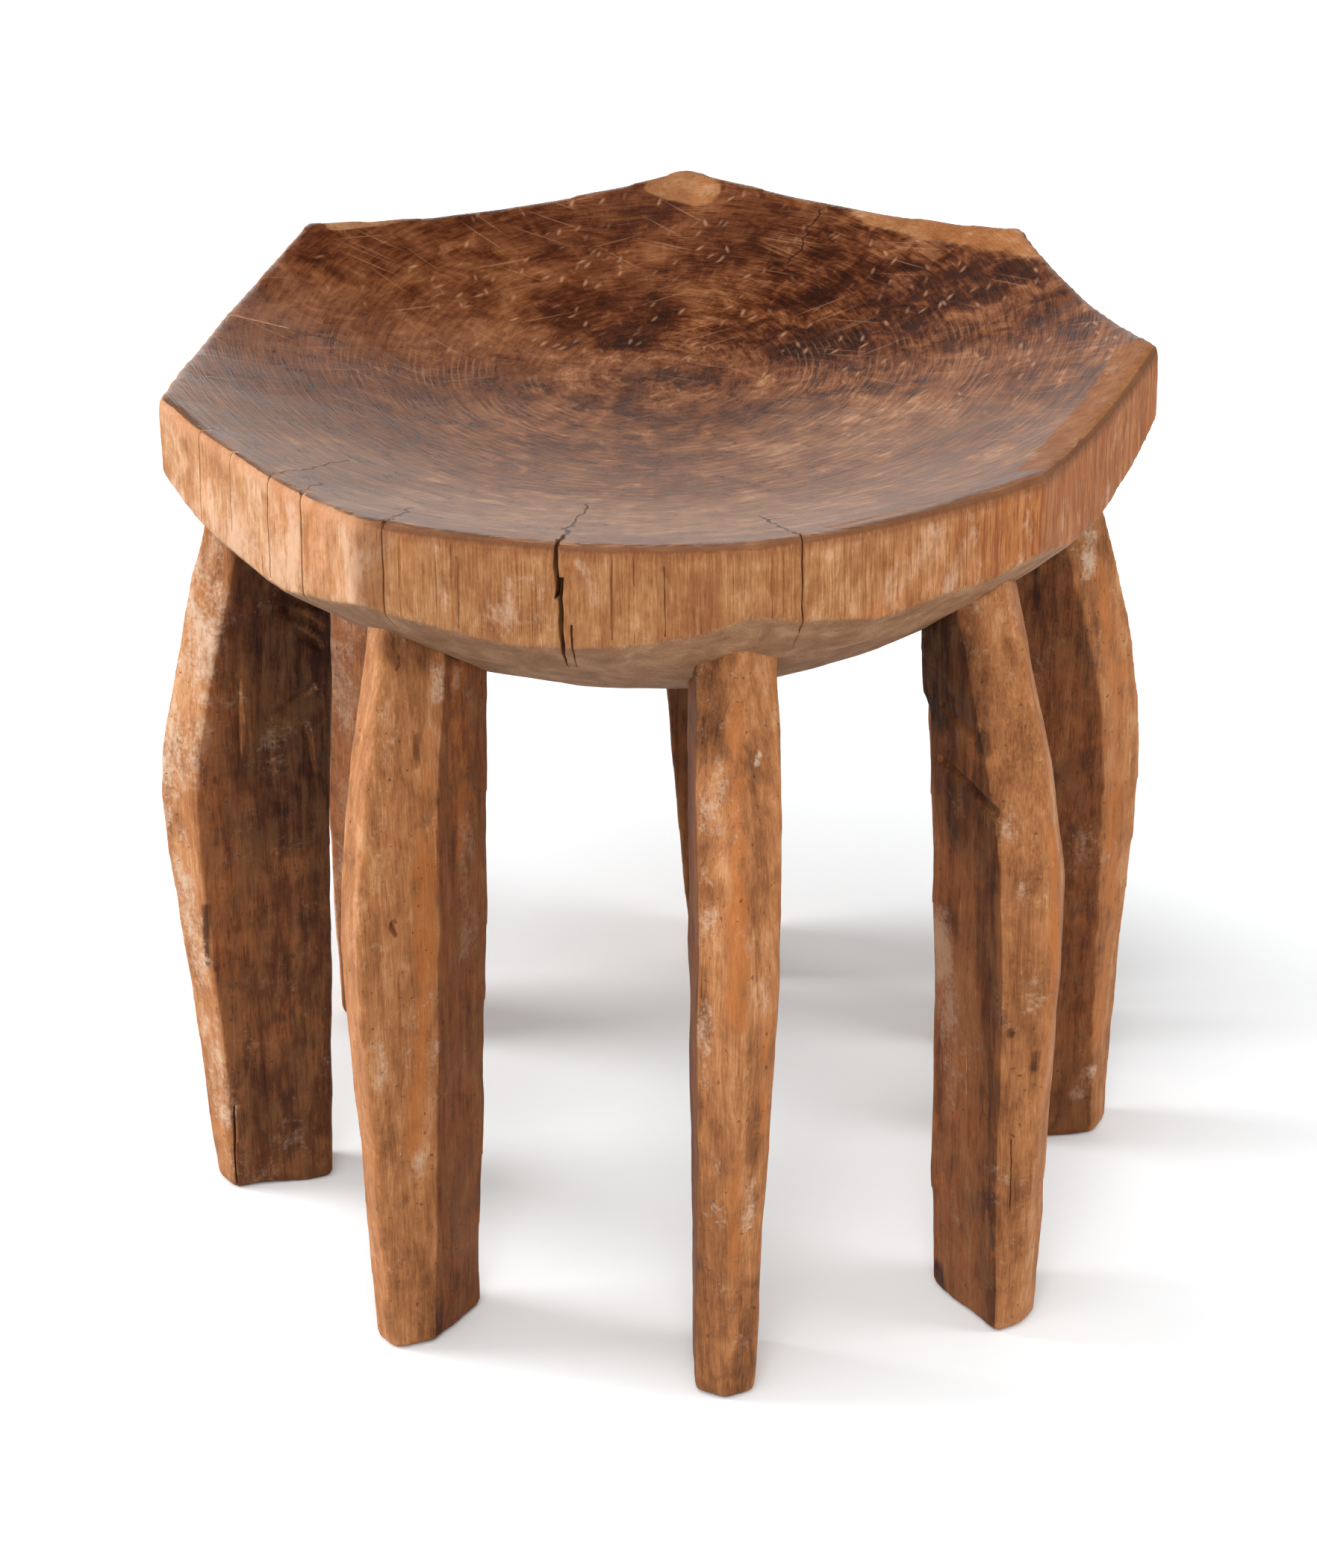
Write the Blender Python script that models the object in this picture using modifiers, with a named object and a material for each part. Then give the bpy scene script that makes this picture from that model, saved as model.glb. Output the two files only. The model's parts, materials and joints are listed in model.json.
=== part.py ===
"""Carved stool: an eight-cornered scooped seat on eight bowed, ridged legs."""

import math

import bmesh
import bpy
from mathutils import Euler, Matrix, Vector

# Seat
CORNER_RADIUS = 0.242
SEAT_HEIGHT = 0.446
DISH_DEPTH = 0.043
CENTRE_THICKNESS = 0.1035
RIM_HEIGHT = 0.038
SIDE_BULGE = 0.008
RIM_WEAR = 0.0045

# Rings of the scoop from the rim inwards, as shares of the seat's outline
SCOOP_SHARES = (1.00, 0.91, 0.82, 0.73, 0.64, 0.55, 0.46, 0.37, 0.28, 0.19, 0.10)

# Lean of the scoop and of the underside about X and Y, in degrees: the scoop lifts
# the front right corners, and the underside hangs lower on the left
DISH_LEAN = (-1.15, -1.0)
UNDERSIDE_LEAN = (0.0, -1.1)

# The corners in order round the seat: where each stands, in degrees seen from
# above with the front at -90, and how far out, as a share of CORNER_RADIUS
CORNERS = ("left", "back_left", "back", "back_right", "right", "front_right", "front", "front_left")
CORNER_ANGLES = (191.7, 135.5, 86.7, 40.0, -2.3, -44.7, -80.8, -124.5)
CORNER_SHARES = (1.000, 1.038, 1.020, 0.985, 0.980, 0.997, 1.022, 0.997)

# How much of SIDE_BULGE each hewn side has, from the corner of the same place in
# CORNERS to the next
BULGE_SHARES = (1.00, 0.15, 0.30, -0.20, 0.10, 0.20, 0.15, 0.10)

# Legs: sizes of a full section at the belly, and of the head and foot
LEG_SETBACK = 0.011
LEG_BOW = 0.0175
HEAD_DRAW = 0.009
HEAD_DEPTH = 0.060
FOOT_DEPTH = 0.056
LEG_WIDTH = 0.036
FOOT_WIDTH = 0.028
FACET_DEPTH = 0.016
FOOT_FACET_DEPTH = 0.007
RIDGE_SHIFT = 0.004
INNER_HOLLOW = 0.005
ARRIS_WEAR = 0.0018
FOOT_WEAR = 0.002

# Sections up the leg, as shares of its height: where each lies, how much of the
# bow the ridge has there, how much of the draw towards the head, and how much of
# the hollow the inner face has
HEIGHT_SHARES = (0.05, 0.15, 0.27, 0.38, 0.47, 0.55, 0.62, 0.70, 0.785, 0.805, 0.88, 1.00)
BOW_SHARES = (0.10, 0.26, 0.46, 0.73, 0.91, 1.00, 0.90, 0.65, 0.49, 0.42, 0.20, 0.00)
DRAW_SHARES = (0.00, 0.00, 0.00, 0.00, 0.00, 0.00, 0.00, 0.15, 0.53, 0.62, 1.00, 1.90)
HOLLOW_SHARES = (0.00, 0.05, 0.30, 0.60, 0.80, 0.95, 1.00, 0.95, 0.75, 0.00, 0.00, 0.00)
BELLY_SHARE = 0.55

# How each leg differs. Angles in degrees: where the foot and the head stand round
# the seat, and how far the foot's and the head's sections are turned from the radius
LEG_ANGLES = {
    "left": (186.0, 189.0, 6.0, 6.0),
    "back_left": (137.5, 136.0, 3.0, 3.0),
    "back": (80.8, 88.5, 0.0, 0.0),
    "back_right": (35.0, 37.0, -2.0, -2.0),
    "right": (5.5, -1.0, 0.0, 0.0),
    "front_right": (-44.0, -45.0, -13.9, -4.0),
    "front": (-83.0, -80.9, -6.0, -4.0),
    "front_left": (-125.6, -126.6, 3.0, 3.0),
}

# Shares of the sizes above: setback, bow, draw, depth at the head and at the foot,
# the ridge's shift towards the anticlockwise side and the inner hollow
LEG_SHARES = {
    "left": (1.00, 1.08, 1.00, 0.98, 1.02, 0.20, 0.00),
    "back_left": (1.78, 1.02, 0.10, 1.00, 1.00, 0.00, 0.00),
    "back": (0.90, 0.95, 1.00, 1.00, 1.00, -0.30, 0.00),
    "back_right": (0.30, 0.95, 1.00, 0.86, 0.86, 0.00, 0.00),
    "right": (0.90, 0.55, 1.70, 1.00, 1.00, 0.20, 0.00),
    "front_right": (-0.30, 0.86, 1.67, 0.79, 1.00, 0.60, 1.30),
    "front": (0.90, 0.95, 1.20, 1.00, 1.00, 0.30, 0.00),
    "front_left": (0.85, 1.05, 1.10, 1.035, 1.00, 0.95, 0.00),
}

# Shares of the facets' depths at the foot, the belly and the head, on the clockwise
# side and then on the other, and the share of the half width on each side
FACET_SHARES = {
    "left": ((0.80, 0.80, 0.80), (0.90, 0.90, 0.90), (1.00, 1.00)),
    "back_left": ((0.90, 0.90, 0.90), (1.10, 1.10, 1.10), (1.00, 1.00)),
    "back": ((1.10, 1.10, 1.10), (0.90, 0.90, 0.90), (1.00, 1.00)),
    "back_right": ((1.00, 1.00, 1.00), (1.00, 1.00, 1.00), (1.00, 1.00)),
    "right": ((1.10, 1.25, 1.35), (0.90, 0.90, 0.90), (1.00, 1.00)),
    "front_right": ((0.15, 1.10, 1.10), (0.90, 0.90, 0.90), (1.00, 1.00)),
    "front": ((1.00, 1.00, 1.00), (1.00, 1.00, 1.00), (1.00, 1.12)),
    "front_left": ((0.75, 0.65, 0.80), (2.20, 2.65, 1.50), (0.82, 1.14)),
}

# The gap where two members meet, how far a cutter runs past what it cuts, and
# the fineness of the turned surfaces
JOINT_GAP = 0.0003
CUT_OVERRUN = 0.03
TURN_STEPS = 72
ARC_STEPS = 12
SIDE_STEPS = 6
BEVEL_STEPS = 2
MERGE_DISTANCE = 0.00001
WEAR_EDGE_ANGLE = 60.0
ARRIS_EDGE_ANGLE = 30.0

# Heights above the floor that follow from the sizes
DISH_FLOOR = SEAT_HEIGHT - DISH_DEPTH
RIM_FOOT = SEAT_HEIGHT - RIM_HEIGHT
UNDERSIDE_FLOOR = DISH_FLOOR - CENTRE_THICKNESS
WIDEST_RADIUS = CORNER_RADIUS * max(CORNER_SHARES)
CUTTER_RADIUS = WIDEST_RADIUS + CUT_OVERRUN

SEAT_COLOUR = (0.36, 0.17, 0.08)
LEG_COLOURS = {
    "left": (0.31, 0.17, 0.09),
    "back_left": (0.34, 0.16, 0.08),
    "back": (0.28, 0.15, 0.08),
    "back_right": (0.30, 0.15, 0.08),
    "right": (0.35, 0.17, 0.08),
    "front_right": (0.36, 0.18, 0.08),
    "front": (0.40, 0.20, 0.09),
    "front_left": (0.38, 0.19, 0.09),
}
SEAT_ROUGHNESS = 0.45
LEG_ROUGHNESS = 0.7


def clear_scene():
    for obj in list(bpy.data.objects):
        bpy.data.objects.remove(obj, do_unlink=True)


def new_collection(name):
    collection = bpy.data.collections.new(name)
    bpy.context.scene.collection.children.link(collection)
    return collection


def wood(name, colour, roughness):
    material = bpy.data.materials.new(name)
    material.use_nodes = True
    shader = material.node_tree.nodes["Principled BSDF"]
    shader.inputs["Base Color"].default_value = (*colour, 1.0)
    shader.inputs["Roughness"].default_value = roughness
    shader.inputs["Metallic"].default_value = 0.0
    return material


def polar(radius, angle, height):
    """A point at a radius and an angle in degrees round the stool's axis."""
    turn = math.radians(angle)
    return Vector((radius * math.cos(turn), radius * math.sin(turn), height))


def between(low, high, share):
    return low + (high - low) * share


def bowl_curve(depth, radius):
    """Radius of the ball whose cap is this deep where it is this wide."""
    return (radius ** 2 + depth ** 2) / (2 * depth)


def bowl_points(floor, curve, radius):
    """Profile of a ball's lower cap, from its rim at a radius down to its lowest point."""
    widest = math.asin(radius / curve)
    points = []
    for step in range(ARC_STEPS + 1):
        angle = widest * (1 - step / ARC_STEPS)
        points.append((curve * math.sin(angle), floor + curve - curve * math.cos(angle)))
    return points


def turned(name, profile, collection):
    """A solid turned about Z from a profile that runs down its outer side."""
    mesh = bpy.data.meshes.new(name)
    outline = bmesh.new()
    verts = [outline.verts.new((radius, 0, height)) for radius, height in profile]
    for upper, lower in zip(verts, verts[1:]):
        outline.edges.new((upper, lower))
    outline.to_mesh(mesh)
    outline.free()
    solid = bpy.data.objects.new(name, mesh)
    collection.objects.link(solid)
    screw = solid.modifiers.new("turn", "SCREW")
    screw.steps = TURN_STEPS
    screw.render_steps = TURN_STEPS
    screw.use_merge_vertices = True
    screw.merge_threshold = MERGE_DISTANCE
    screw.use_smooth_shade = False
    return solid


def as_cutter(solid):
    solid.hide_render = True
    solid.display_type = "WIRE"
    return solid


def cut(target, cutter, name):
    boolean = target.modifiers.new(name, "BOOLEAN")
    boolean.operation = "DIFFERENCE"
    boolean.solver = "EXACT"
    boolean.object = cutter
    return boolean


def wear(target, name, width, edge_angle):
    """Rounds the edges that turn by more than an angle in degrees."""
    bevel = target.modifiers.new(name, "BEVEL")
    bevel.width = width
    bevel.segments = BEVEL_STEPS
    bevel.limit_method = "ANGLE"
    bevel.angle_limit = math.radians(edge_angle)
    bevel.use_clamp_overlap = False
    bevel.miter_outer = "MITER_ARC"
    return bevel


def lean(cutter, height, angles):
    """Stands a cutter at a height on the stool's axis and leans it about X and Y."""
    cutter.location.z = height
    cutter.rotation_euler = [math.radians(angle) for angle in angles] + [0]


def scoop_point(point):
    """A place seen from above, let down or raised onto the scoop's leaned ball."""
    curve = bowl_curve(DISH_DEPTH, CORNER_RADIUS)
    axis = Euler([math.radians(angle) for angle in DISH_LEAN] + [0]).to_matrix() @ Vector((0, 0, 1))
    centre = Vector((0, 0, DISH_FLOOR)) + axis * curve
    reach = (point.x - centre.x) ** 2 + (point.y - centre.y) ** 2
    return Vector((point.x, point.y, centre.z - math.sqrt(curve ** 2 - reach)))


def underside_curve():
    return bowl_curve(RIM_FOOT - UNDERSIDE_FLOOR, CORNER_RADIUS)


def underside_cutter(cutters):
    """What is hewn away below the seat: all that is below a ball's cap."""
    profile = list(reversed(bowl_points(0, underside_curve(), CUTTER_RADIUS)))
    profile += [(CUTTER_RADIUS, -CUT_OVERRUN), (0, -CUT_OVERRUN)]
    cutter = as_cutter(turned("underside_cutter", profile, cutters))
    lean(cutter, UNDERSIDE_FLOOR, UNDERSIDE_LEAN)
    return cutter


def shoulder_cutter(cutters):
    """What scribes the leg heads: the underside's ball, let down by the joint gap."""
    curve = underside_curve() + JOINT_GAP
    radius = CUTTER_RADIUS * curve / underside_curve()
    top = SEAT_HEIGHT + CUT_OVERRUN - UNDERSIDE_FLOOR
    profile = [(0, top), (radius, top)] + bowl_points(-JOINT_GAP, curve, radius)
    cutter = as_cutter(turned("shoulder_cutter", profile, cutters))
    lean(cutter, UNDERSIDE_FLOOR, UNDERSIDE_LEAN)
    return cutter


def outline_points():
    """The seat's outline seen from above, with each side bulged a little outwards."""
    corners = [
        polar(CORNER_RADIUS * share, angle, 0) for angle, share in zip(CORNER_ANGLES, CORNER_SHARES)
    ]
    points = []
    for start, end, bulge_share in zip(corners, corners[1:] + corners[:1], BULGE_SHARES):
        outward = (start + end).normalized()
        for step in range(SIDE_STEPS):
            along = step / SIDE_STEPS
            bulge = SIDE_BULGE * bulge_share * 4 * along * (1 - along)
            points.append(start.lerp(end, along) + outward * bulge)
    return points


def loft(name, sections, collection):
    """A closed solid through like-numbered sections, from the first to the last."""
    mesh = bpy.data.meshes.new(name)
    solid = bmesh.new()
    rings = [[solid.verts.new(point) for point in section] for section in sections]
    solid.faces.new(list(reversed(rings[0])))
    solid.faces.new(rings[-1])
    for lower, upper in zip(rings, rings[1:]):
        for index in range(len(lower)):
            following = (index + 1) % len(lower)
            solid.faces.new((lower[index], lower[following], upper[following], upper[index]))
    bmesh.ops.recalc_face_normals(solid, faces=solid.faces)
    solid.to_mesh(mesh)
    solid.free()
    member = bpy.data.objects.new(name, mesh)
    collection.objects.link(member)
    return member


def make_seat(parts, cutters):
    """The hewn log end, scooped above, worn along its rim and rounded below."""
    outline = outline_points()
    low = Vector((0, 0, UNDERSIDE_FLOOR - CUT_OVERRUN / 2))
    sections = [[point + low for point in outline]]
    for share in SCOOP_SHARES:
        sections.append([scoop_point(point * share) for point in outline])
    seat = loft("seat", sections, parts)
    wear(seat, "worn_rim", RIM_WEAR, WEAR_EDGE_ANGLE)
    cut(seat, underside_cutter(cutters), "underside")
    seat.data.materials.append(wood("seat_wood", SEAT_COLOUR, SEAT_ROUGHNESS))
    return seat


def facet_depth(shares, belly, head):
    """How far a shoulder lies behind the ridge, from its shares at foot, belly and head."""
    foot_share, belly_share, head_share = shares
    below = between(FOOT_FACET_DEPTH * foot_share, FACET_DEPTH * belly_share, belly)
    return between(below, FACET_DEPTH * head_share, head)


def leg_section(name, height_share, bow_share=0, draw_share=0, hollow_share=0, inset=0):
    """Five corners of a leg's section: the ridge, two shoulders and the two inner corners."""
    foot_angle, head_angle, foot_turn, head_turn = LEG_ANGLES[name]
    setback, bow, draw, head_depth, foot_depth, shift, hollow = LEG_SHARES[name]
    near_shares, far_shares, width_shares = FACET_SHARES[name]
    corner_radius = CORNER_RADIUS * CORNER_SHARES[CORNERS.index(name)]
    foot_ridge = corner_radius - LEG_SETBACK * setback
    ridge = foot_ridge + LEG_BOW * bow * bow_share - HEAD_DRAW * draw * draw_share
    inner_foot = foot_ridge - FOOT_DEPTH * foot_depth
    inner_head = foot_ridge - HEAD_DRAW * draw - HEAD_DEPTH * head_depth
    inner = between(inner_foot, inner_head, height_share) + INNER_HOLLOW * hollow * hollow_share
    belly = min(1, height_share / BELLY_SHARE)
    head = max(0, (height_share - BELLY_SHARE) / (1 - BELLY_SHARE))
    near_half, far_half = [
        between(FOOT_WIDTH, LEG_WIDTH * share, belly) / 2 - inset for share in width_shares
    ]
    middle = (ridge + inner) / 2
    out = (ridge - inner) / 2 - inset
    near = out - facet_depth(near_shares, belly, head)
    far = out - facet_depth(far_shares, belly, head)
    peak = RIDGE_SHIFT * shift * belly
    corners = [(out, peak), (far, far_half), (-out, far_half), (-out, -near_half), (near, -near_half)]
    angle = between(foot_angle, head_angle, height_share)
    turn = between(foot_turn, head_turn, height_share)
    centre = polar(middle, angle, RIM_FOOT * height_share)
    spin = Matrix.Rotation(math.radians(angle + turn), 3, "Z")
    return [centre + spin @ Vector((along, across, 0)) for along, across in corners]


def make_leg(name, parts, scribe):
    foot_share = FOOT_WEAR / RIM_FOOT
    sections = [leg_section(name, 0, inset=FOOT_WEAR), leg_section(name, foot_share)]
    for shares in zip(HEIGHT_SHARES, BOW_SHARES, DRAW_SHARES, HOLLOW_SHARES):
        sections.append(leg_section(name, *shares))
    leg = loft("leg_" + name, sections, parts)
    wear(leg, "worn_arrises", ARRIS_WEAR, ARRIS_EDGE_ANGLE)
    cut(leg, scribe, "scribed_shoulder")
    leg.data.materials.append(wood("leg_" + name + "_wood", LEG_COLOURS[name], LEG_ROUGHNESS))
    return leg


def stand_on_origin(parts, cutters):
    """Moves the stool so that the middle of its box stands on the origin."""
    bpy.context.view_layer.update()
    depsgraph = bpy.context.evaluated_depsgraph_get()
    corners = []
    for member in parts.objects:
        solid = member.evaluated_get(depsgraph)
        corners += [solid.matrix_world @ vertex.co for vertex in solid.data.vertices]
    middle_x = (min(point.x for point in corners) + max(point.x for point in corners)) / 2
    middle_y = (min(point.y for point in corners) + max(point.y for point in corners)) / 2
    stand = bpy.data.objects.new("stand", None)
    parts.objects.link(stand)
    for piece in list(parts.objects) + list(cutters.objects):
        if piece is not stand:
            piece.parent = stand
    stand.location = (-middle_x, -middle_y, 0)


def main():
    clear_scene()
    parts = new_collection("carved_stool")
    cutters = new_collection("cutters")
    make_seat(parts, cutters)
    scribe = shoulder_cutter(cutters)
    for name in CORNERS:
        make_leg(name, parts, scribe)
    stand_on_origin(parts, cutters)


main()
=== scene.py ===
"""Carved stool: worn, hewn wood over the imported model, with its stage."""

import json
import math

import bpy
import numpy as np
from mathutils import Matrix, Vector

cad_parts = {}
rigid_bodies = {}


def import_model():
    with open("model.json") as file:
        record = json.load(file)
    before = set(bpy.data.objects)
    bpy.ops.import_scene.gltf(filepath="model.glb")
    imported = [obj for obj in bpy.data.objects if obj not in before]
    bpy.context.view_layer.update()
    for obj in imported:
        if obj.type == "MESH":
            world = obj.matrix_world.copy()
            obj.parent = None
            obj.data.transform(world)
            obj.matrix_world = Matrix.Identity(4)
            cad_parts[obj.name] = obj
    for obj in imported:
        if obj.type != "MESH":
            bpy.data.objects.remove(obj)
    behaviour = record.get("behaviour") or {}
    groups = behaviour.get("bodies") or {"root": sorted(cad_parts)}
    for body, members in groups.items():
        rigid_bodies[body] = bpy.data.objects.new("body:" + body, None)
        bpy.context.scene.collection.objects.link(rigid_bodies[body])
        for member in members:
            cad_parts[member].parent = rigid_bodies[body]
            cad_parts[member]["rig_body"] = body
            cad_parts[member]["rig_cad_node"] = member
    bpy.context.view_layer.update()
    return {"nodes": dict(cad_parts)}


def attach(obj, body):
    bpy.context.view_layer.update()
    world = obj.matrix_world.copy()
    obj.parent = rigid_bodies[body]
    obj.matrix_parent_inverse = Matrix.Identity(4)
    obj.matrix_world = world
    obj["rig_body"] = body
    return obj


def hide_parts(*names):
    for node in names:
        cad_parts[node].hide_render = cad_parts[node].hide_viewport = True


bl_info = {
    "name": "Carved Stool",
    "version": (1, 0, 0),
    "blender": (4, 5, 0),
    "location": "View3D > Sidebar > Stool",
    "description": "Carves a hewn stool's seat and legs and sets up a plain studio round it",
    "category": "Object",
}

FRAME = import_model()

LEG_NAMES = (
    "front", "front_right", "right", "back_right", "back", "back_left", "left", "front_left",
)

# The log's own axis, seen in the growth rings of the scoop
PITH = (0.003, 0.061, 0.0)

# The ball that the underside is hewn to
UNDERSIDE_PLACE = (-0.0017, -0.0004, 0.6236)
UNDERSIDE_RADIUS = 0.3242

# Every table of marks is in millimetres. Drying checks in the rim: where the mouth is, its
# lowest and highest point, how wide it is, how deep it runs at the top and at the bottom, and
# how ragged it is
CHECKS = (
    (-43, -224, 417, 470, 5.6, 90, 30, 3),
    (-41, -224, 372, 428, 4.4, 30, 22, 3.4),
    (-36.5, -225, 362, 405, 1.4, 14, 20, 2.4),
    (-120.5, -203, 372, 470, 2.1, 46, 14, 2.2),
    (-211, -82, 392, 470, 1.5, 24, 10, 1.2),
    (-196, -107, 398, 447, 1.1, 14, 7, 3),
    (-176.5, -136, 388, 470, 2.2, 60, 16, 2.6),
    (-160, -160, 386, 470, 2.4, 34, 14, 2.2),
    (66.5, -235, 366, 470, 2.4, 75, 24, 3.4),
    (-87, -212, 398, 432, 0.6, 8, 6, 1.4),
    (-18.5, -230, 400, 436, 0.6, 8, 6, 1.4),
    (5, -235, 404, 438, 0.6, 8, 6, 1.4),
    (140.5, -192, 408, 442, 0.6, 8, 6, 1.4),
    (212, 90, 372, 470, 1.2, 44, 14, 2.6),
    (90, 205, 366, 470, 1.4, 52, 16, 3),
    (-70, 214, 372, 470, 1, 38, 12, 2.6),
    (-190, 70, 372, 470, 1, 34, 12, 2.6),
)

# How far a blade that opens a split stands out of the wood, how much it narrows downwards,
# how many cuts give it its ragged edge, and the size of the rags
BLADE_OVERRUN = 0.03
BLADE_TAPER = 0.6
BLADE_CUTS = 9
RAG_SIZE = 0.010

# Hairline cracks over the scoop, seen from above: both ends and how wide they are
SEAT_CRACKS = (
    ((-42, -222), (-37, -172), 1.2),
    ((-37, -172), (-29, -120), 0.7),
    ((-120, -203), (-109, -157), 0.7),
    ((-176, -136), (-142, -82), 0.6),
    ((-160, -160), (-152, -132), 0.6),
    ((65, -226), (57, -182), 0.9),
    ((57, -182), (49, -154), 0.6),
    ((88, 200), (70, 158), 0.6),
    ((-190, 70), (-150, 66), 0.6),
)

# How far the cracks wander from a straight line, about
CRACK_WANDER = 0.009

# Strokes over the wood: one end, the other end, how far they reach and how strong they are
SEAT_STAINS = (
    ((-38, 124, 410), (-8, 124, 410), 36, 1), ((-38, 96, 410), (-8, 96, 410), 18, 0.9),
    ((50, 180, 420), (110, 160, 430), 40, 0.4), ((48, 112, 410), (88, 126, 410), 26, 0.7),
    ((130, 75, 420), (165, 50, 430), 30, 0.5), ((-160, 157, 430), (-100, 200, 440), 40, 0.5),
    ((0, 215, 440), (-50, 190, 430), 35, 0.7), ((130, 120, 430), (200, 80, 430), 40, 0.45),
    ((60, 90, 410), (110, 60, 410), 30, 0.7), ((8, 62, 410), (30, 58, 410), 14, 0.7),
    ((-40, -30, 410), (10, -40, 410), 22, 0.4), ((-131, -200, 441), (-131, -200, 432), 4, 1),
    ((-126, -202, 436), (-128, -202, 410), 14, 0.8), ((-219, -70, 427), (-217, -71, 424), 4, 0.9),
)
# Pale scuffs on the scoop, partly scuffed wood and partly painted sheen over its front and sides
SEAT_SCUFFS_AND_SHEEN = (
    ((-190, -40, 430), (-120, -120, 430), 55, 0.45), ((-80, -150, 430), (60, -160, 430), 70, 0.9),
    ((120, -130, 430), (170, -80, 430), 60, 0.5), ((80, -20, 410), (150, -50, 420), 50, 0.5),
    ((-200, -100, 420), (-140, -175, 420), 50, 0.45),
)
SEAT_BARE = (
    ((10, 232, 440), (24, 224, 440), 20, 0.82), ((128, 200, 440), (205, 142, 440), 38, 1),
    ((232, -10, 440), (175, -152, 440), 18, 1), ((160, -170, 440), (80, -208, 440), 10, 0.8),
    ((-160, 174, 440), (-100, 200, 440), 8, 0.7),
)

# The same for the legs: dark patches, chalky scuffs and warm oiled strips. The broad dark strokes at the
# leg heads just under the seat and down the inner sides of the left, right and back legs are partly
# stain and partly painted shade from the seat
LEG_STAINS_AND_SHADE = {
    "left": (
        ((-172, -40, 360), (-176, -36, 220), 52, 0.75), ((-176, -36, 220), (-182, -36, 10), 52, 0.45),
        ((-160, -40, 360), (-164, -39, 260), 34, 0.95), ((-196, -50, 350), (-198, -47, 290), 20, 0.45),
        ((-222, -48, 168), (-223, -45, 134), 3, 1),
    ),
    "front_left": (
        ((-118, -178, 372), (-94, -166, 366), 14, 0.45), ((-109, -181, 328), (-110, -182, 314), 3, 0.6),
        ((-120, -190, 50), (-110, -184, 6), 16, 0.35),
    ),
    "front": (
        ((21, -211, 380), (26, -219, 345), 17, 0.4), ((24, -236, 105), (24, -234, 4), 17, 0.4),
        ((22, -230, 300), (22, -238, 105), 15, 0.3), ((46, -224, 345), (47, -240, 262), 9, 0.25),
        ((41, -233, 60), (37, -233, 4), 12, 0.5), ((43, -238, 170), (43, -238, 140), 9, 0.35),
        ((36, -246, 212), (36, -246, 210), 2.4, 0.9), ((34, -244, 166), (34, -244, 164), 2.4, 0.9),
    ),
    "front_right": (
        ((126, -144, 372), (129, -147, 326), 26, 1), ((140, -160, 372), (141, -163, 330), 18, 0.6),
        ((134, -150, 318), (138, -156, 270), 20, 0.45), ((153, -173, 300), (155, -176, 160), 13, 0.5),
        ((149, -170, 320), (151, -172, 314), 7, 0.7), ((156, -182, 160), (157, -182, 10), 22, 0.35),
        ((170, -182, 330), (170, -182, 60), 18, 0.2), ((166, -183, 171), (166, -183, 169), 3, 1),
        ((178, -183, 158), (178, -183, 150), 4, 0.7), ((163, -183, 180), (163, -183, 176), 4, 0.6),
        ((136, -140, 12), (138, -142, 4), 6, 0.8),
    ),
    "right": (
        ((198, -14, 360), (206, -4, 10), 36, 0.2), ((206, -16, 350), (214, -14, 250), 12, 0.3),
        ((186, -18, 333), (186, -18, 311), 3, 0.8),
    ),
    "back_left": (
        ((-160, 130, 380), (-161, 131, 300), 30, 0.3),
    ),
    "back": (
        ((15, 175, 360), (15, 177, 10), 40, 0.3),
    ),
}
LEG_SCUFFS = {
    "left": (
        ((-222, -45, 312), (-224, -48, 268), 13, 1), ((-213, -47, 355), (-232, -44, 240), 20, 0.92),
        ((-236, -42, 230), (-222, -39, 40), 14, 0.8), ((-233, -45, 256), (-234, -45, 240), 9, 0.7),
        ((-236, -41, 190), (-228, -45, 160), 9, 1), ((-227, -40, 124), (-221, -39, 56), 7, 0.8),
        ((-201, -41, 107), (-176, -34, 36), 30, 0.12),
    ),
    "front_left": (
        ((-100, -172, 362), (-99, -173, 344), 6, 1), ((-90, -163, 352), (-90, -163, 344), 5, 0.9),
        ((-88, -160, 270), (-88, -159, 205), 12, 0.55), ((-133, -200, 176), (-131, -199, 158), 9, 0.8),
        ((-114, -186, 108), (-114, -186, 98), 6, 0.9), ((-139, -198, 330), (-146, -200, 230), 7, 0.35),
    ),
    "front": (
        ((25, -225, 335), (24, -233, 285), 12, 0.8), ((49, -242, 232), (48, -242, 216), 8, 0.6),
        ((21, -238, 186), (21, -238, 176), 6, 0.8), ((26, -240, 138), (26, -240, 130), 6, 0.9),
        ((43, -238, 122), (41, -238, 98), 6, 0.8), ((24, -238, 262), (22, -238, 200), 12, 0.5),
        ((46, -224, 340), (46, -226, 336), 3, 1),
    ),
    "front_right": (
        ((135, -148, 212), (136, -147, 152), 12, 1), ((134, -149, 320), (136, -152, 296), 8, 0.45),
        ((138, -152, 140), (139, -152, 110), 9, 0.35), ((150, -170, 370), (157, -176, 340), 9, 0.4),
    ),
    "back_left": (
        ((-160, 131, 300), (-163, 133, 40), 26, 0.6),
    ),
    "right": (
        ((214, -9, 352), (212, -11, 330), 8, 0.9), ((221, 4, 40), (214, 5, 26), 7, 0.8),
    ),
}
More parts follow.
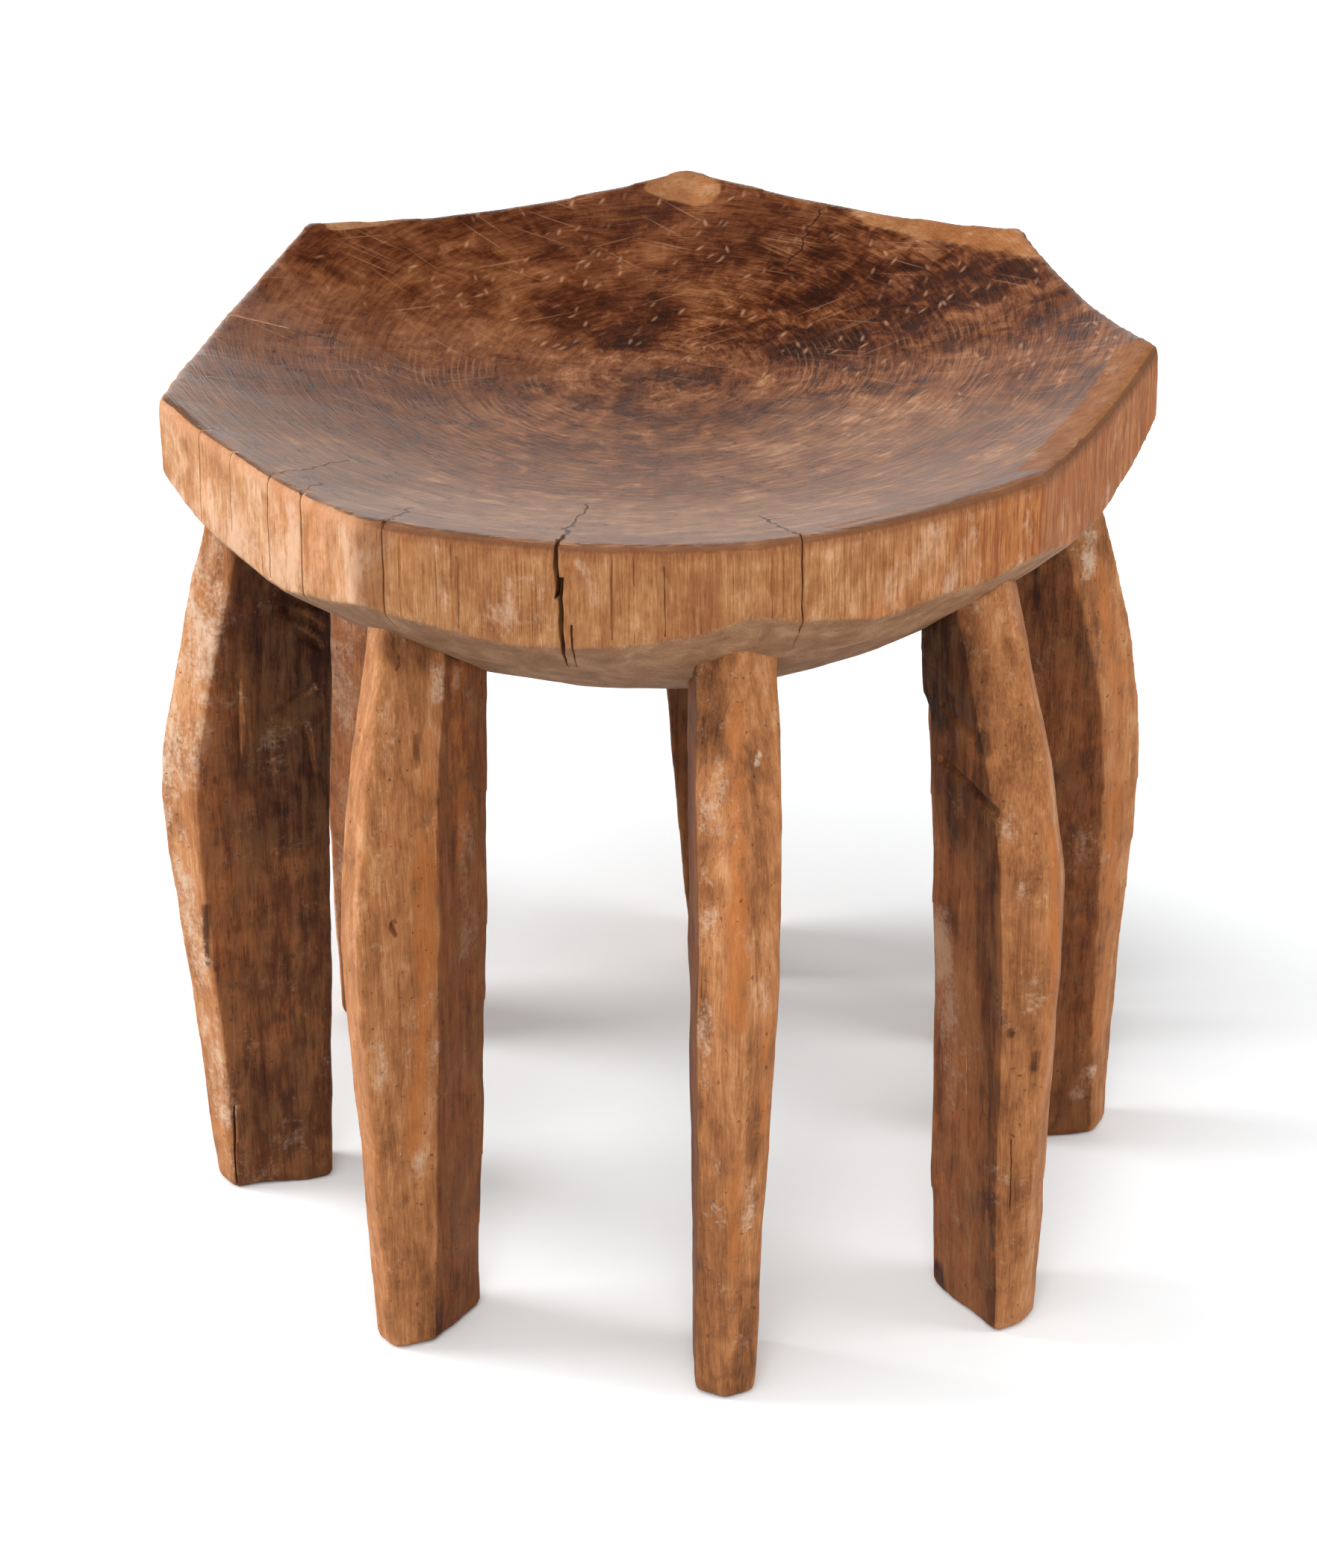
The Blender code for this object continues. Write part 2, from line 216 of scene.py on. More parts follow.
LEG_GLOWS = {
    "front_left": (
        ((-103, -178, 325), (-107, -183, 262), 8, 0.7), ((-90, -163, 350), (-90, -162, 262), 14, 0.7),
        ((-107, -183, 262), (-108, -184, 205), 11, 1), ((-108, -184, 205), (-118, -189, 110), 9, 0.9),
        ((-134, -200, 120), (-126, -196, 40), 11, 0.5),
    ),
    "front": (
        ((37, -227, 362), (37, -245, 276), 8, 0.8), ((37, -245, 276), (36, -250, 215), 9, 1),
        ((36, -248, 140), (36, -240, 76), 7, 0.8), ((17, -234, 270), (17, -238, 215), 4, 0.8),
        ((50, -240, 210), (46, -238, 150), 8, 0.6),
    ),
    "front_right": (
        ((170, -150, 372), (172, -164, 350), 7, 0.9), ((187, -180, 275), (188, -184, 215), 8, 1),
        ((188, -184, 215), (184, -178, 90), 7, 0.8), ((160, -180, 110), (158, -178, 40), 10, 0.5),
    ),
    "right": (
        ((226, -4, 200), (228, 2, 142), 10, 0.9), ((216, -9, 330), (230, -3, 250), 12, 0.7),
        ((230, -3, 250), (226, 4, 60), 10, 0.7),
    ),
    "left": (
        ((-212, -50, 360), (-216, -50, 320), 10, 0.4),
    ),
}

# Cuts across the legs that a blade left, as strokes too
LEG_CUTS = {
    "left": (
        ((-184, -45, 336), (-160, -39, 328), 5, 1), ((-178, -43, 328), (-162, -39, 316), 4, 1),
        ((-172, -41, 316), (-162, -39, 306), 3, 0.9), ((-188, -46, 270), (-166, -40, 284), 2.2, 1),
        ((-170, -41, 262), (-167, -40, 238), 3, 1), ((-200, -48, 345), (-202, -48, 240), 1.4, 0.8),
    ),
    "front_right": (
        ((133, -150, 298), (146, -165, 291), 3, 1), ((146, -165, 291), (156, -177, 284), 4, 1),
        ((133, -151, 327), (147, -167, 318), 3, 0.7), ((170, -184, 240), (176, -184, 252), 2, 0.7),
    ),
    "front_left": (
        ((-137, -199, 280), (-136, -199, 276), 3, 0.9), ((-121, -194, 237), (-119, -193, 233), 3, 1),
    ),
    "right": (
        ((206, -17, 240), (212, -14, 236), 2, 0.8),
    ),
}
CUT_DEPTH = 0.0022

LEG_SPLITS = {
    "left": (
        (-213.5, -43, 0, 50, 1.6, 10, 12, 2, (-0.2, 1.0)),
    ),
    "front": (
        (47, -246, 224, 252, 0.8, 6, 4, 1.4, (-0.7, 0.7)),
        (20, -239, 222, 252, 0.6, 5, 3, 1, (0.6, 0.8)),
    ),
    "front_right": (
        (146, -162, 124, 148, 1.8, 8, 5, 2, (0.8, 0.6)),
        (168, -184, 70, 110, 1.2, 7, 6, 2.4, (0.0, 1.0)),
    ),
}

# How sharp an edge starts to wear pale, and where it is wholly pale
SEAT_ARRIS = (0.06, 0.22)
LEG_ARRIS = (0.06, 0.25)
ARRIS_SPREAD = 3

MERGE_DISTANCE = 0.00001


def shade(red, green, blue):
    """A colour as a shader takes it, from its usual 0 to 255 values."""
    def straight(value):
        value /= 255
        return value / 12.92 if value <= 0.04045 else ((value + 0.055) / 1.055) ** 2.4
    return (straight(red), straight(green), straight(blue))


# Settings


class StoolSizes(bpy.types.PropertyGroup):
    """How finely the wood is carved and how deep the tool went."""

    seat_voxel: bpy.props.FloatProperty(
        name="Seat grain", description="Size of the seat's carved facets",
        default=0.0025, min=0.001, unit="LENGTH")
    leg_voxel: bpy.props.FloatProperty(
        name="Leg grain", description="Size of a leg's carved facets",
        default=0.0016, min=0.001, unit="LENGTH")
    hewn_depth: bpy.props.FloatProperty(
        name="Hewn depth", description="How deep the adze marks under the seat are",
        default=0.0016, min=0.0, unit="LENGTH")
    chisel_depth: bpy.props.FloatProperty(
        name="Chisel depth", description="How deep the marks along the legs are",
        default=0.0011, min=0.0, unit="LENGTH")
    head_overlap: bpy.props.FloatProperty(
        name="Head overlap", description="How far a leg's head runs on into the seat's wood",
        default=0.003, min=0.0, unit="LENGTH")


class StoolFinish(bpy.types.PropertyGroup):
    """The colours of the wood where it is worn, bare and stained."""

    heart: bpy.props.FloatVectorProperty(
        name="Heartwood", description="Colour of the bare wood along the grain",
        subtype="COLOR", min=0, max=1, default=shade(167, 117, 72))
    amber: bpy.props.FloatVectorProperty(
        name="Amber", description="Colour of the oiled patches",
        subtype="COLOR", min=0, max=1, default=shade(172, 98, 42))
    patina: bpy.props.FloatVectorProperty(
        name="Patina", description="Colour of the scoop where it is polished by use",
        subtype="COLOR", min=0, max=1, default=shade(104, 57, 28))
    stain: bpy.props.FloatVectorProperty(
        name="Stain", description="Colour of the darkest marks",
        subtype="COLOR", min=0, max=1, default=shade(42, 17, 6))
    chalk: bpy.props.FloatVectorProperty(
        name="Chalk", description="Colour of the scuffed, dry patches",
        subtype="COLOR", min=0, max=1, default=shade(204, 176, 150))


# Working on meshes


def enter(mode):
    bpy.ops.object.mode_set(mode=mode)


def pick(*objects):
    """Selects these objects and nothing else, the last one active."""
    bpy.ops.object.select_all(action="DESELECT")
    for obj in objects:
        obj.select_set(True)
    bpy.context.view_layer.objects.active = objects[-1]


def choose_none():
    """Leaves nothing of the active mesh selected."""
    enter("EDIT")
    bpy.ops.mesh.select_all(action="DESELECT")
    enter("OBJECT")


def copy_node(node, name):
    """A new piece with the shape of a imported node, its loose triangles merged."""
    pick(FRAME["nodes"][node])
    bpy.ops.object.duplicate(linked=False)
    piece = bpy.context.active_object
    piece.name = name
    piece.data.name = name
    piece.parent = None
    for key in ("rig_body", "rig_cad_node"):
        if key in piece:
            del piece[key]
    enter("EDIT")
    bpy.ops.mesh.select_all(action="SELECT")
    bpy.ops.mesh.remove_doubles(threshold=MERGE_DISTANCE)
    enter("OBJECT")
    return piece


def shape(piece, kind, **settings):
    """Adds a modifier with its settings and applies it."""
    pick(piece)
    modifier = piece.modifiers.new(kind.lower(), kind)
    for key, value in settings.items():
        setattr(modifier, key, value)
    bpy.ops.object.modifier_apply(modifier=modifier.name)


def rough_texture(name, kind, **settings):
    texture = bpy.data.textures.new(name, kind)
    for key, value in settings.items():
        setattr(texture, key, value)
    return texture


def points_of(piece):
    points = np.zeros(len(piece.data.vertices) * 3)
    piece.data.vertices.foreach_get("co", points)
    return points.reshape(-1, 3)


def normals_of(piece):
    normals = np.zeros(len(piece.data.vertices) * 3)
    piece.data.vertices.foreach_get("normal", normals)
    return normals.reshape(-1, 3)


def weigh(piece, name, weights):
    """Stores a weight for each vertex in a vertex group, in a hundred steps."""
    group = piece.vertex_groups.new(name=name)
    steps = np.round(np.clip(weights, 0, 1) * 100).astype(int)
    for step in np.unique(steps):
        if step:
            group.add([int(index) for index in np.flatnonzero(steps == step)], step / 100, "REPLACE")
    return group.name


def ease(values, low, high):
    """0 below low, 1 above high and a smooth rise between them."""
    share = np.clip((values - low) / (high - low), 0, 1)
    return share * share * (3 - 2 * share)


def off_line(points, start, end):
    """How far each point is from the line between two places."""
    line = end - start
    length = max(float(line @ line), 1e-12)
    along = np.clip((points - start) @ line / length, 0, 1)
    return np.linalg.norm(points - start - along[:, None] * line, axis=1)


def stroke(points, strokes):
    """How strongly each point is touched by a set of strokes, full within a third of their reach."""
    touch = np.zeros(len(points))
    for start, end, reach, strength in strokes:
        off = off_line(points, np.array(start) / 1000, np.array(end) / 1000)
        touch = np.maximum(touch, strength * (1 - ease(off / (reach / 1000), 0.3, 1.0)))
    return touch


def sharpness(piece):
    """How much each point stands out as an arris, spread a little over its neighbours."""
    mesh = piece.data
    points, normals = points_of(piece), normals_of(piece)
    ends = np.zeros(len(mesh.edges) * 2, int)
    mesh.edges.foreach_get("vertices", ends)
    first, second = ends[0::2], ends[1::2]
    count = np.maximum(np.bincount(ends, minlength=len(points)), 1)

    def mean_of(values):
        return (np.bincount(first, values[second], len(points))
                + np.bincount(second, values[first], len(points))) / count

    pull = np.stack([mean_of(points[:, axis]) for axis in range(3)], 1) - points
    step = np.linalg.norm(points[first] - points[second], axis=1).mean()
    sharp = -(pull * normals).sum(1) / step
    for _ in range(ARRIS_SPREAD):
        sharp = (sharp + mean_of(sharp)) / 2
    return sharp


def paint(piece, name, *layers):
    """Stores up to three layers of values for each point as one painted attribute."""
    values = np.ones((len(piece.data.vertices), 4), np.float32)
    values[:, :3] = 0
    for index, layer in enumerate(layers):
        values[:, index] = np.clip(layer, 0, 1)
    attribute = piece.data.color_attributes.new(name, "FLOAT_COLOR", "POINT")
    attribute.data.foreach_set("color", values.ravel())


def split_blade(row, texture, inward=None):
    """A ragged wedge, pointing to the pith unless told where, that opens a split in the wood."""
    x, y, low, high, width, top_depth, foot_depth, rag = (value / 1000 for value in row)
    mouth = Vector((x, y, 0))
    inward = Vector((*inward, 0)) if inward else Vector(PITH) - mouth
    length = top_depth + BLADE_OVERRUN
    bpy.ops.object.select_all(action="DESELECT")
    bpy.ops.mesh.primitive_cylinder_add(vertices=3, radius=1, depth=high - low, location=(0, 0, 0))
    blade = bpy.context.active_object
    tip = max(blade.data.vertices, key=lambda vertex: vertex.co.y).co.y
    back = min(blade.data.vertices, key=lambda vertex: vertex.co.y).co.y
    span = max(vertex.co.x for vertex in blade.data.vertices) * 2
    base_width = width * length / top_depth
    blade.scale = (base_width / span, length / (tip - back), 1)
    blade.location = (0, -BLADE_OVERRUN - back * blade.scale.y, 0)
    bpy.ops.object.transform_apply(location=True, rotation=True, scale=True)
    for vertex in blade.data.vertices:
        vertex.select = vertex.co.z < 0
    enter("EDIT")
    foot_share = (foot_depth + BLADE_OVERRUN) / length
    bpy.ops.transform.resize(value=(BLADE_TAPER, foot_share, 1), center_override=(0, -BLADE_OVERRUN, 0))
    bpy.ops.mesh.select_all(action="SELECT")
    bpy.ops.mesh.subdivide(number_cuts=BLADE_CUTS)
    enter("OBJECT")
    blade.rotation_euler.z = math.atan2(inward.y, inward.x) - math.pi / 2
    blade.location = (mouth.x, mouth.y, (low + high) / 2)
    shape(blade, "DISPLACE", texture=texture, texture_coords="GLOBAL", direction="X", strength=rag)
    bpy.ops.object.transform_apply(location=True, rotation=True, scale=True)
    return blade


def carve_finely(piece, facet):
    """Gives a piece an even skin of small facets, with the steps between them smoothed."""
    shape(piece, "REMESH", mode="VOXEL", voxel_size=facet, use_smooth_shade=True)
    shape(piece, "SMOOTH", factor=0.5, iterations=3)


def cut_away(piece, cutter, operation="DIFFERENCE"):
    """Cuts a piece with another solid, which is then thrown away."""
    shape(piece, "BOOLEAN", operation=operation, solver="MANIFOLD", object=cutter)
    pick(cutter)
    bpy.ops.object.delete()


# Mixing the wood


class Recipe:
    """Puts a material together, one named step at a time."""

    def __init__(self, name):
        self.material = bpy.data.materials.new(name)
        self.material.use_nodes = True
        self.tree = self.material.node_tree
        self.shader = self.tree.nodes["Principled BSDF"]

    def add(self, kind, inputs=None, **settings):
        node = self.tree.nodes.new(kind)
        for key, value in settings.items():
            setattr(node, key, value)
        for key, value in (inputs or {}).items():
            if isinstance(value, bpy.types.NodeSocket):
                self.tree.links.new(value, node.inputs[key])
            else:
                node.inputs[key].default_value = value
        return node

    def place(self):
        return self.add("ShaderNodeTexCoord").outputs["Object"]

    def maths(self, operation, first, second=0.0, third=0.0, clamp=False):
        return self.add("ShaderNodeMath", {0: first, 1: second, 2: third},
                        operation=operation, use_clamp=clamp).outputs[0]

    def times(self, first, second):
        return self.maths("MULTIPLY", first, second)

    def most(self, first, second):
        return self.maths("MAXIMUM", first, second)

    def some_of(self, value, share, rest=0.0):
        """A share of a value on top of the rest."""
        return self.maths("MULTIPLY_ADD", value, share, rest)

    def heap(self, tone, *layers):
        """Adds a share of each layer to a tone."""
        for layer, share in layers:
            tone = self.some_of(layer, share, tone)
        return tone

    def all_of(self, first, *others):
        """How strongly all these masks hold together."""
        for other in others:
            first = self.times(first, other)
        return first

    def stir(self, tone, *layers):
        """Works a share of each pattern into a tone, whose middle stays where it is."""
        for pattern, share in layers:
            tone = self.some_of(pattern, share, self.maths("SUBTRACT", tone, share / 2))
        return tone

    def vector(self, operation, first, second=(0.0, 0.0, 0.0), scale=1.0, result="Vector"):
        return self.add("ShaderNodeVectorMath", {0: first, 1: second, 3: scale},
                        operation=operation).outputs[result]

    def dot(self, first, second):
        return self.vector("DOT_PRODUCT", first, second, result="Value")

    def split(self, vector):
        return self.add("ShaderNodeSeparateXYZ", {0: vector}).outputs

    def combine(self, x=0.0, y=0.0, z=0.0):
        return self.add("ShaderNodeCombineXYZ", {0: x, 1: y, 2: z}).outputs[0]

    def stretch(self, vector, scale, turn=(0.0, 0.0, 0.0)):
        inputs = {"Vector": vector, "Scale": scale, "Rotation": turn}
        return self.add("ShaderNodeMapping", inputs).outputs[0]

    def noise(self, vector, scale=1.0, detail=2.0, rough=0.5, swirl=0.0):
        return self.add("ShaderNodeTexNoise", {"Vector": vector, "Scale": scale, "Detail": detail,
                        "Roughness": rough, "Distortion": swirl}).outputs["Fac"]

    def remap(self, value, low, high, to_low=0.0, to_high=1.0):
        return self.add("ShaderNodeMapRange", {"Value": value, "From Min": low, "From Max": high,
                        "To Min": to_low, "To Max": to_high},
                        interpolation_type="SMOOTHSTEP").outputs["Result"]

    def mix(self, share, low, high, mode="MIX"):
        node = self.add("ShaderNodeMix", data_type="RGBA", blend_type=mode)
        for socket, value in zip((node.inputs[0], node.inputs[6], node.inputs[7]), (share, low, high)):
            if isinstance(value, bpy.types.NodeSocket):
                self.tree.links.new(value, socket)
            elif socket == node.inputs[0]:
                socket.default_value = value
            else:
                socket.default_value = (*value, 1.0) if len(value) == 3 else value
        return node.outputs[2]

    def coat(self, under, over, mask, share):
        """Lays a colour over another as thickly as a share of the mask."""
        return self.mix(self.times(mask, share), under, over)

    def blend(self, share, low, high):
        """One number turned into another by a share."""
        return self.add("ShaderNodeMix", {0: share, 2: low, 3: high}, data_type="FLOAT").outputs[0]

    def ramp(self, value, *stops):
        """Colours along a number, each stop a place and a colour."""
        node = self.add("ShaderNodeValToRGB", {0: value})
        marks = node.color_ramp.elements
        while len(marks) < len(stops):
            marks.new(0.5)
        for mark, (position, colour) in zip(marks, stops):
            mark.position = position
            mark.color = (*colour, 1.0)
        return node.outputs["Color"]

    def tint(self, colour, factor):
        """A colour made darker or lighter by a number round 1."""
        grey = self.add("ShaderNodeCombineColor", {0: factor, 1: factor, 2: factor}).outputs[0]
        return self.mix(1.0, colour, grey, mode="MULTIPLY")

    def painted(self, name):
        """A painted layer's three masks."""
        colour = self.add("ShaderNodeAttribute", attribute_name=name).outputs["Color"]
        return self.add("ShaderNodeSeparateColor", {0: colour}).outputs

    def relief(self, height, distance, normal=None):
        inputs = {"Height": height, "Distance": distance, "Strength": 1.0}
        if normal is not None:
            inputs["Normal"] = normal
        return self.add("ShaderNodeBump", inputs).outputs[0]

    def finish(self, colour, rough, normal, gloss):
        self.tree.links.new(colour, self.shader.inputs["Base Color"])
        self.tree.links.new(rough, self.shader.inputs["Roughness"])
        self.tree.links.new(normal, self.shader.inputs["Normal"])
        self.shader.inputs["Specular IOR Level"].default_value = gloss
        return self.material


def round_the_log(wood, place):
    """Distance from the log's axis and the direction from it, wavering as growth rings do."""
    waver = wood.noise(place, scale=7)
    x, y, _ = wood.split(wood.vector("SUBTRACT", place, PITH))
    flat = wood.combine(x, y)
    radius = wood.some_of(waver, 0.014, wood.vector("LENGTH", flat, result="Value"))
    return radius, wood.vector("NORMALIZE", flat)


def ring_noise(wood, radius, bearing, along, across):
    """Noise drawn out round the log or away from its axis."""
    turned = wood.vector("SCALE", bearing, scale=along)
    lifted = wood.vector("ADD", turned, wood.combine(0, 0, wood.times(radius, across)))
    return wood.noise(lifted, detail=3, rough=0.6)


def long_grain(wood, place):
    """Fibres that run up the log, coarse and fine."""
    coarse = wood.noise(wood.stretch(place, (330, 330, 16)), detail=4, rough=0.65, swirl=0.3)
    fine = wood.noise(wood.stretch(place, (1500, 1500, 60)), detail=3, rough=0.65)
    return coarse, fine


def nicks(wood, place, turn, kept, crowding):
    """Thin marks that lie in one direction, a share of them kept, this many to a metre."""
    turned = wood.stretch(place, (1, 1, 0), turn=(0, 0, turn))
    cells = wood.add("ShaderNodeTexVoronoi", {"Vector": wood.stretch(turned, crowding), "Scale": 1},
                     feature="F1")
    chosen = wood.maths("GREATER_THAN", wood.split(cells.outputs["Color"])[0], 1 - kept)
    return wood.times(chosen, wood.remap(cells.outputs["Distance"], 0.36, 0.06))


def crack(wood, place, start, end, width):
    """A thin wandering line between two places, seen from above."""
    start, end = Vector((*start, 0)) / 1000, Vector((*end, 0)) / 1000
    line = end - start
    from_start = wood.vector("SUBTRACT", place, start)
    along = wood.maths("DIVIDE", wood.dot(from_start, line), line.length_squared, clamp=True)
    on_line = wood.combine(*(wood.times(along, part) for part in line))
    off = wood.vector("DISTANCE", from_start, on_line, result="Value")
    return wood.remap(off, width / 1000, width / 2500)


def weather(wood, colour, cloud, chalky, stain):
    """Bare wood with its chalky and dark clouds and its stains."""
    colour = wood.coat(colour, shade(204, 168, 140), chalky, 0.6)
    colour = wood.mix(wood.times(wood.remap(cloud, 0.48, 0.34), 0.55), colour, shade(132, 76, 38))
    return wood.coat(colour, shade(112, 68, 40), stain, 0.5)


def seat_wood(finish):
    wood = Recipe("seat_wood")
    place = wood.place()
    up = wood.split(wood.add("ShaderNodeNewGeometry").outputs["Normal"])[2]
    radius, bearing = round_the_log(wood, place)
    coarse, fine = long_grain(wood, place)
    stain, scuff, bare = wood.painted("wear")[:3]
    arris = wood.painted("arris")[0]
    mottle = wood.noise(place, scale=60, detail=9, rough=0.68, swirl=0.7)
    blotch = wood.noise(place, scale=13, detail=5, rough=0.6, swirl=0.8)
    grit = wood.noise(place, scale=520, detail=4, rough=0.7)
    wander = wood.add("ShaderNodeTexNoise", {"Vector": place, "Scale": 110, "Detail": 3})
    wander = wood.vector("SUBTRACT", wander.outputs["Color"], (0.5, 0.5, 0.5))
    wandered = wood.vector("ADD", place, wood.vector("SCALE", wander, scale=CRACK_WANDER))
    wandered = wood.vector("MULTIPLY", wandered, (1, 1, 0))
    cracks = 0
    for start, end, width in SEAT_CRACKS:
        cracks = wood.most(crack(wood, wandered, start, end, width), cracks)

    # The scoop: rings round the pith, rays away from it, dark blotches and thin scratches
    drawn = ring_noise(wood, radius, bearing, 5, 150)
    thin = ring_noise(wood, radius, bearing, 16, 900)
    rays = ring_noise(wood, radius, bearing, 70, 14)
    close = ring_noise(wood, radius, bearing, 9, 380)
    rings = wood.maths("SINE", wood.some_of(drawn, 3, wood.times(radius, 1350)))
    tone = wood.some_of(mottle, 1.35, -0.17)
    tone = wood.stir(tone, (blotch, 0.75), (drawn, 0.34), (close, 0.28), (thin, 0.50), (rays, 0.18))
    tone = wood.heap(tone, (rings, 0.03), (scuff, 0.16), (stain, -0.30))
    tone = wood.some_of(tone, 1.3, -0.15)

    # The back left is worn more evenly. The front of the scoop gets a painted sheen: its tone is lifted
    # and coated grey there, standing in for the reflection of the pale surroundings
    even = wood.remap(wood.dot(place, (-0.7, 0.7, 0)), 0.05, 0.11)
    tone = wood.blend(wood.times(even, 0.38), tone, 0.47)
    painted_sheen = wood.remap(wood.dot(place, (-0.15, -1, 0)), -0.10, 0.10)
    tone = wood.most(tone, wood.times(painted_sheen, 0.40))

    # Scratches, most of them at the back right, and the rings that show as pale lines
    scratch = 0
    for turn, kept in ((2.1, 0.14), (1.35, 0.08), (1.8, 0.16), (2.4, 0.11)):
        scratch = wood.most(nicks(wood, place, turn, kept, (80, 250, 1)), scratch)
    across, deep, _ = wood.split(place)
    struck = wood.some_of(across, 0.55, wood.times(deep, 0.85))
    struck = wood.some_of(blotch, 0.25, struck)
    patchy = wood.remap(wood.noise(place, scale=34, detail=3), 0.42, 0.58, 0.25, 1)
    scratch = wood.all_of(scratch, patchy, wood.remap(struck, 0.06, 0.22, 0.05, 1))
    for turn, kept in ((0.42, 0.16), (0.75, 0.10), (2.7, 0.08)):
        long_mark = nicks(wood, place, turn, kept, (16, 560, 1))
        scratch = wood.most(wood.times(long_mark, 0.55), scratch)
    ring_lines = wood.maths("SINE", wood.some_of(drawn, 4, wood.times(radius, 1800)))
    shown = wood.all_of(
        wood.remap(wood.noise(place, scale=48, detail=4), 0.46, 0.62),
        wood.remap(radius, 0.20, 0.16), wood.remap(radius, 0.05, 0.08),
        wood.remap(wood.maths("ABSOLUTE", wood.split(bearing)[0]), 0.3, 0.75),
        wood.remap(ring_lines, 0.3, 1), wood.remap(deep, 0.10, 0.06))
    scoop = wood.ramp(tone, (0.05, finish.stain), (0.28, shade(68, 29, 9)), (0.50, finish.patina),
                      (0.74, shade(134, 85, 52)), (1, shade(172, 126, 90)))
    lined = wood.some_of(thin, 0.6, wood.some_of(close, 1.3, 0.04))
    scoop = wood.coat(scoop, shade(176, 132, 98), shown, 0.24)
    # Painted sheen: a grey coat over the front of the scoop, with the rings showing darker through it,
    # and darker towards the left
    scoop = wood.coat(scoop, shade(120, 98, 82), painted_sheen, 0.30)
    scoop = wood.tint(scoop, wood.blend(painted_sheen, 1, lined))
    # A pale grey coat where the scuffs are: partly scuffed wood, partly painted sheen
    scoop = wood.coat(scoop, shade(146, 122, 104), scuff, 0.20)
    scoop = wood.tint(scoop, wood.blend(wood.times(painted_sheen, wood.remap(across, -0.04, -0.14)), 1, 0.80))
    scoop = wood.coat(scoop, shade(190, 144, 108), scratch, 0.50)

    # Bare wood along the grain: the sides and the patches that were planed later
    flakes = wood.noise(wood.stretch(place, (1, 1, 0.45)), scale=95, detail=8, rough=0.7, swirl=0.4)
    grain = wood.some_of(coarse, 0.50, 0.26)
    grain = wood.stir(grain, (fine, 0.85), (flakes, 1.10), (mottle, 0.55), (blotch, 0.70))
    pores = wood.noise(wood.stretch(place, (760, 760, 9)))
    left_share = wood.remap(across, -0.115, -0.140)
    right_share = wood.remap(across, 0.05, 0.18)
    front_right_share = wood.times(wood.remap(across, 0.06, 0.09), wood.remap(across, 0.16, 0.12))
    grain = wood.heap(grain, (wood.remap(pores, 0.60, 0.72), -0.30), (left_share, 0.10),
                      (front_right_share, 0.09))
    side = wood.ramp(grain, (0, shade(92, 48, 22)), (0.35, shade(142, 88, 46)),
                     (0.62, finish.heart), (0.85, shade(194, 148, 110)), (1, finish.chalk))
    amber = wood.remap(wood.some_of(fine, 0.3, blotch), 0.66, 0.80)
    planed = wood.most(amber, wood.times(right_share, 0.6))
    planed = wood.coat(side, finish.amber, planed, 0.55)
    amber = wood.most(amber, wood.remap(across, 0.08, 0.19))
    side = wood.coat(side, finish.amber, amber, 0.55)
    fibres = wood.some_of(fine, 0.5, wood.times(coarse, 0.5))
    dark_fibres = wood.times(wood.remap(fibres, 0.54, 0.42), right_share)
    side = wood.coat(side, shade(116, 62, 28), dark_fibres, 0.75)
    cloud = wood.noise(wood.stretch(place, (1, 1, 0.5)), scale=44, detail=10, rough=0.74, swirl=0.3)
    chalky = wood.remap(wood.some_of(left_share, 0.07, cloud), 0.53, 0.69)
    side = weather(wood, side, cloud, chalky, stain)
    planed = weather(wood, planed, cloud, chalky, stain)
    planed = wood.tint(planed, wood.remap(deep, 0.02, 0.12, 0.70, 0.86))

    # The rounded edge of the rim: darker, oiled by hands, and on the left a pale painted highlight along
    # it
    band = wood.ramp(fibres, (0.3, shade(88, 48, 22)), (0.5, shade(132, 78, 40)),
                     (0.7, shade(172, 116, 70)))
    band = wood.coat(band, shade(196, 140, 102), left_share, 0.7)
    band = wood.coat(band, shade(92, 54, 26), right_share, 0.5)

    # The underside: greyer and rougher
    dull = wood.some_of(mottle, 0.7, wood.times(fine, 0.4))
    under = wood.ramp(dull, (0.3, shade(88, 56, 34)), (0.55, shade(138, 98, 66)),
                      (0.8, shade(182, 146, 112)))
    under = wood.tint(under, wood.remap(across, 0.02, -0.12, 1, 0.78))

    bare_edge = wood.some_of(blotch, 0.8, wood.some_of(mottle, 0.5, bare))
    bare_edge = wood.remap(bare_edge, 1.02, 1.24)
    scoop = wood.coat(scoop, planed, bare_edge, 0.9)
    top_share = wood.remap(up, 0.84, 0.92)
    rim_edge = wood.most(wood.remap(up, 0.12, 0.35), wood.painted("arris")[1])
    # On the left the dark band and the grime give way to the painted highlight
    band_share = wood.times(rim_edge, wood.some_of(left_share, -0.4, 0.9))
    colour = wood.mix(band_share, side, band)
    colour = wood.mix(top_share, colour, scoop)
    grime = wood.times(wood.remap(up, 0.22, 0.5), wood.remap(up, 0.93, 0.85))
    grime = wood.times(grime, wood.some_of(left_share, -0.7, 0.75))
    colour = wood.mix(grime, colour, shade(92, 52, 26))
    colour = wood.mix(wood.remap(up, -0.2, -0.5), colour, under)
    colour = wood.coat(colour, finish.heart, arris, 0.35)
    cracks = wood.times(cracks, wood.remap(up, 0.5, 0.8))
    colour = wood.coat(colour, shade(44, 20, 10), cracks, 0.9)

